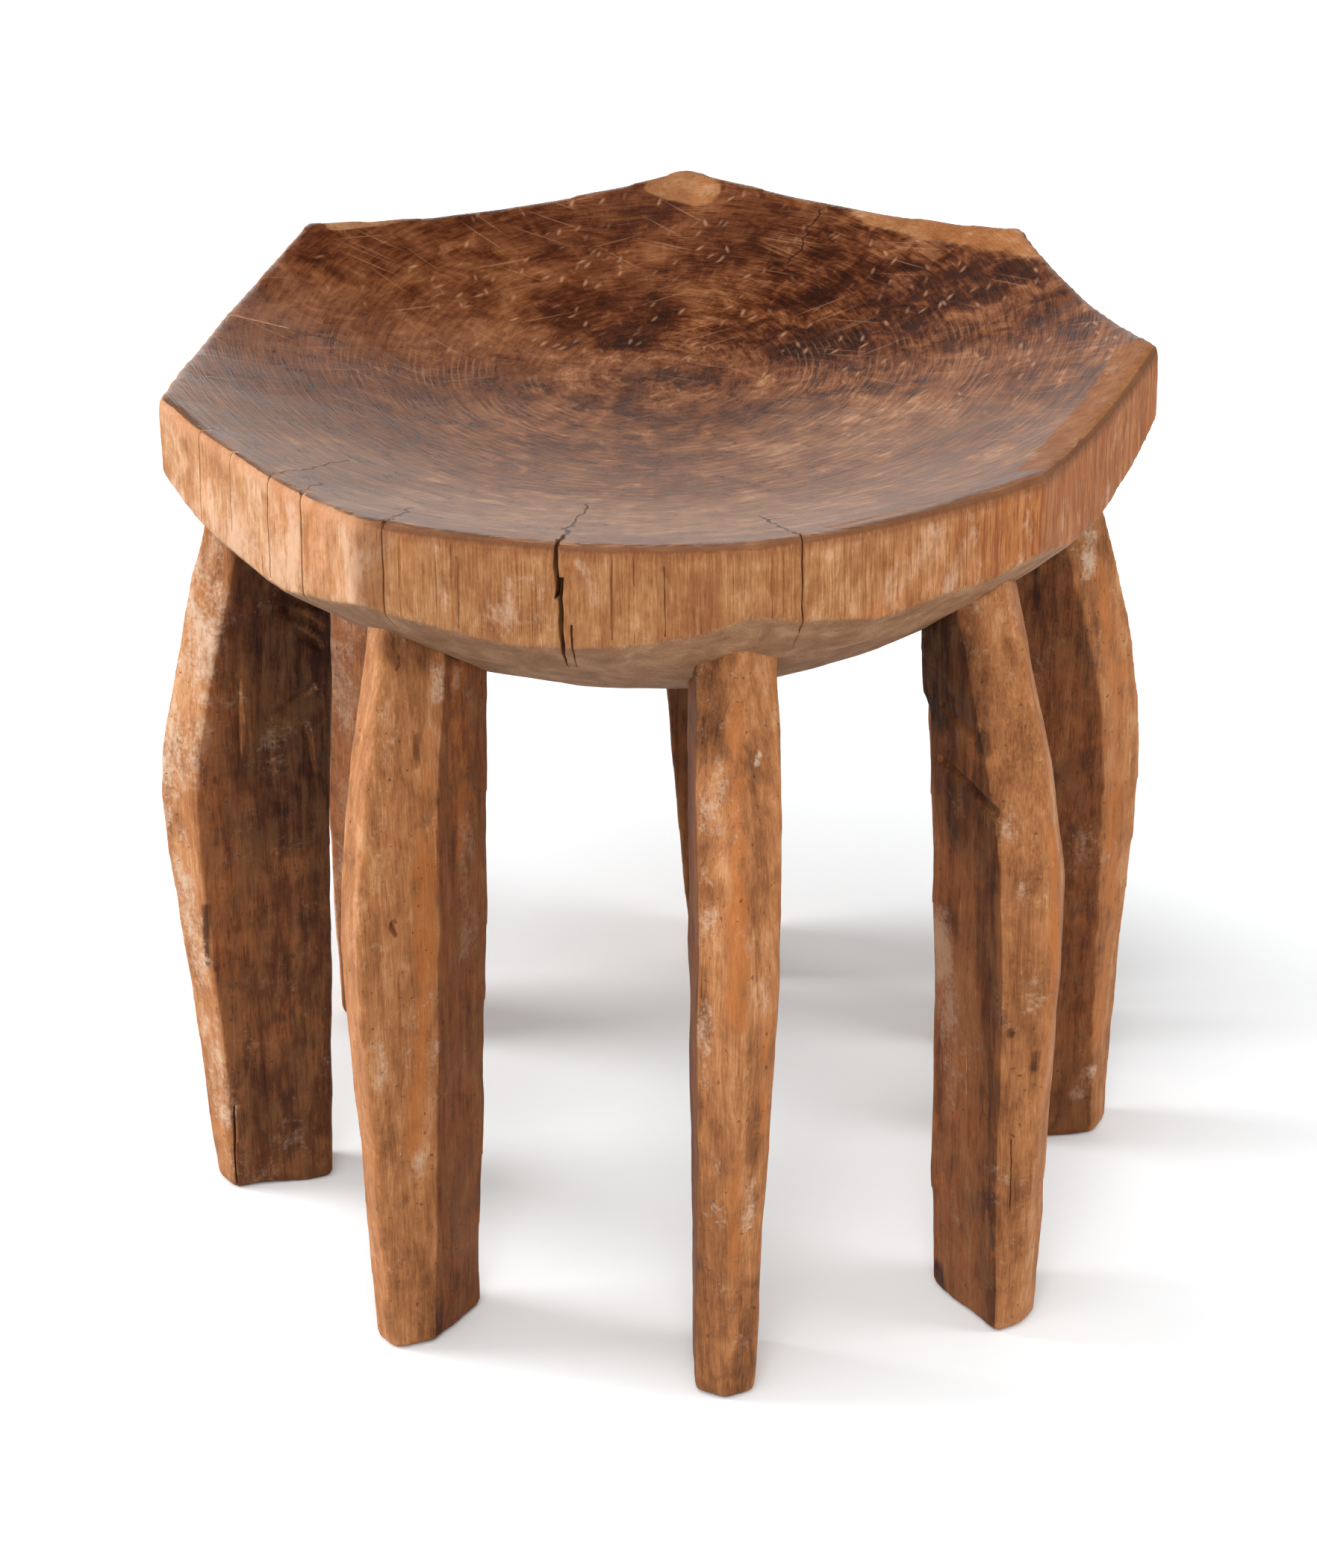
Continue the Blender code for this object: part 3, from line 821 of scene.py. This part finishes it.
    raised = wood.some_of(coarse, 0.6, wood.times(fine, 0.35))
    polished = wood.some_of(rings, 0.03, wood.times(scratch, -0.06))
    polished = wood.some_of(thin, 0.8, wood.some_of(rays, 0.2, polished))
    height = wood.blend(top_share, raised, polished)
    height = wood.some_of(cracks, -0.8, height)
    bumped = wood.relief(height, distance=0.0008)
    bumped = wood.relief(grit, distance=0.00022, normal=bumped)
    polish = wood.remap(mottle, 0.3, 0.7, 0.27, 0.40)
    polish = wood.some_of(right_share, 0.12, polish)
    polish = wood.some_of(thin, 0.30, wood.maths("SUBTRACT", polish, 0.14))
    polish = wood.blend(bare_edge, polish, 0.66)
    rough = wood.blend(top_share, 0.72, polish)
    return wood.finish(colour, rough, bumped, gloss=0.28)


def leg_wood(finish):
    wood = Recipe("leg_wood")
    place = wood.place()
    normal = wood.add("ShaderNodeNewGeometry").outputs["Normal"]
    outward = wood.vector("NORMALIZE", wood.vector("MULTIPLY", place, (1, 1, 0)))
    facing = wood.dot(normal, outward)
    coarse, fine = long_grain(wood, place)
    stain, scuff, glow = wood.painted("wear")[:3]
    arris = wood.painted("arris")[0]
    drawn_up = wood.stretch(place, (1, 1, 0.6))
    mottle = wood.noise(drawn_up, scale=120, detail=8, rough=0.70, swirl=0.6)
    blotch = wood.noise(place, scale=22, detail=7, rough=0.62, swirl=0.8)
    streak = wood.noise(wood.stretch(place, (170, 170, 16)), detail=6, rough=0.62, swirl=0.4)
    grit = wood.noise(place, scale=620, detail=4, rough=0.7)
    outer_share = wood.remap(facing, 0.14, 0.36)
    cloud = wood.noise(wood.stretch(place, (1, 1, 0.7)), scale=46, detail=11, rough=0.76, swirl=0.3)

    patch = wood.noise(drawn_up, scale=55, detail=8, rough=0.66, swirl=0.7)
    tone = wood.some_of(mottle, 0.70, 0.205)
    tone = wood.stir(tone, (patch, 0.45), (blotch, 0.50), (streak, 0.85), (fine, 0.60))
    # The first painted layer darkens the stains and the cut grooves, and lays painted shade on the leg
    # heads under the seat and down the inner sides
    tone = wood.heap(tone, (stain, -0.50), (scuff, 0.06))
    calm = wood.some_of(tone, 0.9, 0.05)
    # The side faces, turned in under the seat, take a darker ramp than the outer faces: partly the
    # wood's own colour, partly painted shade
    outer = wood.ramp(tone, (0.05, shade(80, 46, 24)), (0.35, shade(134, 84, 48)),
                      (0.6, shade(170, 112, 68)), (0.85, shade(196, 148, 106)), (1, finish.chalk))
    side = wood.ramp(calm, (0.05, finish.stain), (0.35, shade(90, 50, 25)), (0.6, shade(138, 80, 43)),
                     (0.85, shade(168, 111, 70)), (1, shade(186, 142, 108)))
    olive = wood.remap(wood.some_of(streak, 0.5, wood.times(patch, 0.5)), 0.46, 0.56)
    side = wood.coat(side, shade(98, 72, 44), olive, 0.34)
    colour = wood.mix(outer_share, side, outer)
    amber = wood.some_of(streak, 0.45, wood.times(mottle, 0.55))
    amber = wood.some_of(glow, 0.26, wood.some_of(arris, 0.16, amber))
    colour = wood.mix(wood.times(wood.remap(amber, 0.60, 0.78), 0.62), colour, finish.amber)
    colour = wood.coat(colour, shade(200, 134, 82), arris, 0.35)
    crumbs = wood.noise(place, scale=420, detail=5, rough=0.7)
    dusty = wood.some_of(scuff, 0.17, wood.some_of(crumbs, 0.35, cloud))
    dusty = wood.remap(dusty, 0.74, 0.96)
    dusty = wood.times(dusty, wood.some_of(outer_share, 0.6, 0.4))
    colour = wood.coat(colour, finish.chalk, dusty, 0.8)
    specks = wood.noise(place, scale=330)
    colour = wood.mix(wood.times(wood.remap(specks, 0.69, 0.74), 0.6), colour, shade(70, 40, 24))

    height = wood.some_of(coarse, 0.4, wood.some_of(fine, 0.3, wood.times(mottle, 0.8)))
    height = wood.some_of(wood.remap(specks, 0.66, 0.76), -0.3, height)
    bumped = wood.relief(height, distance=0.0012)
    bumped = wood.relief(grit, distance=0.0003, normal=bumped)
    rough = wood.remap(mottle, 0.3, 0.7, 0.56, 0.74)
    return wood.finish(colour, rough, bumped, gloss=0.14)


def put_on(piece, material):
    piece.data.materials.clear()
    piece.data.materials.append(material)


# Pieces


class STOOL_OT_seat(bpy.types.Operator):
    """Carve the scooped seat, with its hewn underside, worn rim and drying checks"""

    bl_idname = "stool.seat"
    bl_label = "Carve the Seat"
    bl_options = {"REGISTER", "UNDO"}

    RIM_SLICES = 360
    RIM_INSIDE = 0.195
    RIM_BAND = (0.003, 0.008)
    WAVE_DEPTH = 0.0016
    KNIFE_DEPTH = 0.0010

    def execute(self, context):
        sizes = context.scene.stool_sizes
        seat = copy_node("seat", "carved_seat")
        self.hew_underside(seat, sizes.hewn_depth)
        carve_finely(seat, sizes.seat_voxel)
        self.leave_tool_marks(seat, sizes)
        self.open_checks(seat)
        points = points_of(seat)
        paint(seat, "wear", *(stroke(points, marks) for marks in (SEAT_STAINS, SEAT_SCUFFS_AND_SHEEN, SEAT_BARE)))
        paint(seat, "arris", ease(sharpness(seat), *SEAT_ARRIS), self.below_the_rim(points))
        put_on(seat, seat_wood(context.scene.stool_finish))
        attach(seat, "root")
        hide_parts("seat")
        return {"FINISHED"}

    def below_the_rim(self, points):
        """1 along the upper edge of the rim, fading out a few millimetres below it."""
        bearing = np.arctan2(points[:, 1], points[:, 0])
        slice_of = ((bearing + math.pi) / (2 * math.pi) * self.RIM_SLICES).astype(int) % self.RIM_SLICES
        outside = np.hypot(points[:, 0], points[:, 1]) > self.RIM_INSIDE
        top = np.zeros(self.RIM_SLICES)
        np.maximum.at(top, slice_of[outside], points[outside, 2])
        top = np.convolve(np.concatenate((top[-3:], top, top[:3])), np.ones(7) / 7, "valid")
        return outside * (1 - ease(top[slice_of] - points[:, 2], *self.RIM_BAND))

    def hew_underside(self, seat, depth):
        """Leaves broad flat facets where the adze rounded the log."""
        bpy.ops.object.select_all(action="DESELECT")
        bpy.ops.mesh.primitive_ico_sphere_add(subdivisions=4, radius=UNDERSIDE_RADIUS + depth / 3,
                                              location=UNDERSIDE_PLACE, rotation=(0.5, 0.3, 0.2))
        ball = bpy.context.active_object
        bpy.ops.object.transform_apply(location=True, rotation=True, scale=True)
        enter("EDIT")
        bpy.ops.mesh.select_all(action="SELECT")
        bpy.ops.transform.vertex_random(offset=depth, uniform=0.3, seed=7)
        enter("OBJECT")
        cut_away(seat, ball, "INTERSECT")

    def leave_tool_marks(self, seat, sizes):
        """Waves the surface as hand tools do, most below and least in the scoop."""
        normals = normals_of(seat)
        below = weigh(seat, "below", ease(-normals[:, 2], 0.2, 0.6))
        beside = weigh(seat, "beside", 1 - ease(np.abs(normals[:, 2]), 0.3, 0.8))
        scallops = rough_texture("adze_scallops", "VORONOI", distance_metric="DISTANCE_SQUARED",
                                 noise_scale=0.035)
        shape(seat, "DISPLACE", texture=scallops, strength=sizes.hewn_depth, mid_level=0.35,
              vertex_group=below)
        waves = rough_texture("hand_waves", "CLOUDS", noise_scale=0.05, noise_depth=1)
        shape(seat, "DISPLACE", texture=waves, strength=self.WAVE_DEPTH)
        knife = rough_texture("knife_marks", "CLOUDS", noise_scale=0.012, noise_depth=2)
        shape(seat, "DISPLACE", texture=knife, strength=self.KNIFE_DEPTH, vertex_group=beside)

    def open_checks(self, seat):
        """Opens the drying checks in three cuts, so that none meets another in the same cut."""
        rag = rough_texture("ragged_split", "CLOUDS", noise_scale=RAG_SIZE, noise_depth=2)
        blades = [split_blade(row, rag) for row in CHECKS]
        for turn in (0, 1, 2):
            group = blades[turn::3]
            pick(*group)
            bpy.ops.object.join()
            cut_away(seat, bpy.context.active_object)


class STOOL_OT_legs(bpy.types.Operator):
    """Carve the eight bowed legs with their ridges and chisel marks"""

    bl_idname = "stool.legs"
    bl_label = "Carve the Legs"
    bl_options = {"REGISTER", "UNDO"}

    # The scribed faces of a leg's head look up at least this steeply, above this height
    HEAD_SLOPE = 0.5
    HEAD_FLOOR = 0.3

    # The marks on a leg are this much deeper than the tool went, and this much longer than wide
    MARK_GAIN = 1.5
    MARK_LENGTH = 5

    def execute(self, context):
        sizes = context.scene.stool_sizes
        mark_depth = sizes.chisel_depth * self.MARK_GAIN
        material = leg_wood(context.scene.stool_finish)
        waves = rough_texture("leg_waves", "CLOUDS", noise_scale=0.03, noise_depth=2)
        strokes = rough_texture("chisel_strokes", "VORONOI", distance_metric="DISTANCE_SQUARED",
                                noise_scale=0.020)
        rag = rough_texture("ragged_leg_split", "CLOUDS", noise_scale=RAG_SIZE, noise_depth=2)
        ruler = self.long_ruler()
        for name in LEG_NAMES:
            leg = copy_node("leg_" + name, "carved_leg_" + name)
            self.grow_head(leg, sizes.head_overlap)
            carve_finely(leg, sizes.leg_voxel)
            shape(leg, "DISPLACE", texture=strokes, texture_coords="OBJECT", texture_coords_object=ruler,
                  strength=mark_depth, mid_level=0.35)
            shape(leg, "DISPLACE", texture=waves, strength=mark_depth)
            cuts, stains_and_shade, scuffs, glows = (
                table.get(name, ()) for table in (LEG_CUTS, LEG_STAINS_AND_SHADE, LEG_SCUFFS, LEG_GLOWS))
            cut_group = weigh(leg, "cuts", stroke(points_of(leg), cuts))
            shape(leg, "DISPLACE", strength=-CUT_DEPTH, mid_level=0.0, vertex_group=cut_group)
            for *row, inward in LEG_SPLITS.get(name, ()):
                cut_away(leg, split_blade(row, rag, inward))
            self.level_foot(leg)
            points = points_of(leg)
            # The first layer holds the dark stains, partly painted shade, and the cut grooves
            paint(leg, "wear", *(stroke(points, marks) for marks in (stains_and_shade + cuts, scuffs, glows)))
            paint(leg, "arris", ease(sharpness(leg), *LEG_ARRIS))
            put_on(leg, material)
            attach(leg, "root")
            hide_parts("leg_" + name)
        pick(ruler)
        bpy.ops.object.delete()
        return {"FINISHED"}

    def level_foot(self, leg):
        """Planes the sole off level with the floor."""
        pick(leg)
        choose_none()
        leg.data.vertices.foreach_set("select", points_of(leg)[:, 2] < 0)
        enter("EDIT")
        bpy.ops.transform.resize(value=(1, 1, 0), center_override=(0, 0, 0))
        enter("OBJECT")

    def long_ruler(self):
        """A stand-in whose long axis draws the chisel strokes out up the legs."""
        bpy.ops.object.empty_add(location=(0, 0, 0))
        ruler = bpy.context.active_object
        ruler.scale = (1, 1, self.MARK_LENGTH)
        bpy.context.view_layer.update()
        return ruler

    def grow_head(self, leg, overlap):
        """Runs the scribed end of the leg on into the seat."""
        choose_none()
        for face in leg.data.polygons:
            face.select = face.normal.z > self.HEAD_SLOPE and face.center.z > self.HEAD_FLOOR
        enter("EDIT")
        bpy.ops.transform.translate(value=(0, 0, overlap))
        enter("OBJECT")


# Stage


class STOOL_OT_stage(bpy.types.Operator):
    """Set up the pale floor, the soft lights and the camera"""

    bl_idname = "stool.stage"
    bl_label = "Set Up the Studio"
    bl_options = {"REGISTER", "UNDO"}

    PHOTO_WIDTH = 1764
    FOCAL_PIXELS = 7299.85
    SENSOR_WIDTH = 36.0
    CAMERA_PLACE = (0.00156, -2.40683, 1.45236)
    CAMERA_PITCH = 27.318
    CAMERA_ROLL = 0.508
    FLOOR_RADIUS = 9
    NEAR_FLOOR = (0.35, 1.1)
    FAR_FLOOR = (1.3, 2.6)
    LAMPS_AIM = (0, 0, 0.25)

    def execute(self, context):
        self.floor()
        self.world(context.scene)
        self.lamps()
        self.camera(context.scene)
        context.scene.view_settings.view_transform = "Standard"
        return {"FINISHED"}

    def floor(self):
        bpy.ops.object.select_all(action="DESELECT")
        bpy.ops.mesh.primitive_circle_add(vertices=96, radius=self.FLOOR_RADIUS, fill_type="NGON",
                                          location=(0, 0, 0))
        floor = bpy.context.active_object
        floor.name = "floor"
        paper = Recipe("studio_floor")
        paper.shader.inputs["Base Color"].default_value = (0.86, 0.88, 0.89, 1)
        paper.shader.inputs["Roughness"].default_value = 0.9
        paper.shader.inputs["Specular IOR Level"].default_value = 0.1
        away = paper.vector("LENGTH", paper.place(), result="Value")
        seen = paper.add("ShaderNodeLightPath").outputs["Is Camera Ray"]
        near = paper.remap(away, *self.NEAR_FLOOR, 0.03, 0.5)
        far = paper.remap(away, *self.FAR_FLOOR, 0.0, 0.5)
        lift = paper.times(seen, paper.maths("ADD", near, far))
        paper.shader.inputs["Emission Color"].default_value = (1, 1, 1, 1)
        paper.tree.links.new(lift, paper.shader.inputs["Emission Strength"])
        floor.data.materials.append(paper.material)

    def world(self, scene):
        world = bpy.data.worlds.new("studio")
        world.use_nodes = True
        scene.world = world
        nodes, links = world.node_tree.nodes, world.node_tree.links
        nodes.clear()
        output = nodes.new("ShaderNodeOutputWorld")
        path = nodes.new("ShaderNodeLightPath")
        sky = None
        for ray, strength in ((None, 0.30), ("Is Glossy Ray", 0.05), ("Is Camera Ray", 1.0)):
            light = nodes.new("ShaderNodeBackground")
            light.inputs["Color"].default_value = (1, 1, 1, 1)
            light.inputs["Strength"].default_value = strength
            if ray:
                mix = nodes.new("ShaderNodeMixShader")
                links.new(path.outputs[ray], mix.inputs[0])
                links.new(sky.outputs[0], mix.inputs[1])
                links.new(light.outputs[0], mix.inputs[2])
                light = mix
            sky = light
        links.new(sky.outputs[0], output.inputs[0])

    def lamps(self):
        """Softboxes left, right, in front and above, and a glowing strip low down behind."""
        for name, place, size, height, power in (
            ("left_softbox", (-2.2, 0.25, 1.10), 1.3, 1.3, 58),
            ("right_softbox", (2.2, -0.5, 1.20), 1.2, 1.2, 25),
            ("front_softbox", (-0.2, -2.8, 2.10), 1.6, 1.6, 46),
            ("top_softbox", (-0.2, -0.6, 2.50), 1.6, 1.6, 30),
            ("back_strip", (0.0, 3.4, 0.72), 6.0, 0.9, 44),
        ):
            bpy.ops.object.light_add(type="AREA", location=place)
            lamp = bpy.context.active_object
            lamp.name = name
            lamp.data.shape = "ELLIPSE"
            lamp.data.size = size
            lamp.data.size_y = height
            lamp.data.energy = power
            lamp.visible_camera = False
            aim = Vector(self.LAMPS_AIM) - Vector(place)
            lamp.rotation_euler = aim.to_track_quat("-Z", "Y").to_euler()

    def camera(self, scene):
        bpy.ops.object.camera_add()
        camera = bpy.context.active_object
        camera.name = "camera"
        turn = (Matrix.Rotation(math.radians(90 - self.CAMERA_PITCH), 3, "X")
                @ Matrix.Rotation(math.radians(-self.CAMERA_ROLL), 3, "Z"))
        camera.rotation_euler = turn.to_euler()
        camera.location = self.CAMERA_PLACE
        camera.data.sensor_fit = "HORIZONTAL"
        camera.data.sensor_width = self.SENSOR_WIDTH
        camera.data.lens = self.SENSOR_WIDTH * self.FOCAL_PIXELS / self.PHOTO_WIDTH
        camera.data.clip_end = 30
        scene.camera = camera


class STOOL_PT_panel(bpy.types.Panel):
    """Shows the buttons that carve the stool and set up its studio, and the stool's settings"""

    bl_idname = "STOOL_PT_panel"
    bl_label = "Carved Stool"
    bl_space_type = "VIEW_3D"
    bl_region_type = "UI"
    bl_category = "Stool"

    def draw(self, context):
        for operator in (STOOL_OT_stage, STOOL_OT_seat, STOOL_OT_legs):
            self.layout.operator(operator.bl_idname)
        for group in (context.scene.stool_sizes, context.scene.stool_finish):
            for name in group.__annotations__:
                self.layout.prop(group, name)


CLASSES = (StoolSizes, StoolFinish, STOOL_OT_stage, STOOL_OT_seat, STOOL_OT_legs, STOOL_PT_panel)


def register():
    for entry in CLASSES:
        bpy.utils.register_class(entry)
    bpy.types.Scene.stool_sizes = bpy.props.PointerProperty(type=StoolSizes)
    bpy.types.Scene.stool_finish = bpy.props.PointerProperty(type=StoolFinish)


def unregister():
    del bpy.types.Scene.stool_finish
    del bpy.types.Scene.stool_sizes
    for entry in reversed(CLASSES):
        bpy.utils.unregister_class(entry)


def main():
    register()
    bpy.ops.stool.stage()
    bpy.ops.stool.seat()
    bpy.ops.stool.legs()


if __name__ == "__main__":
    main()
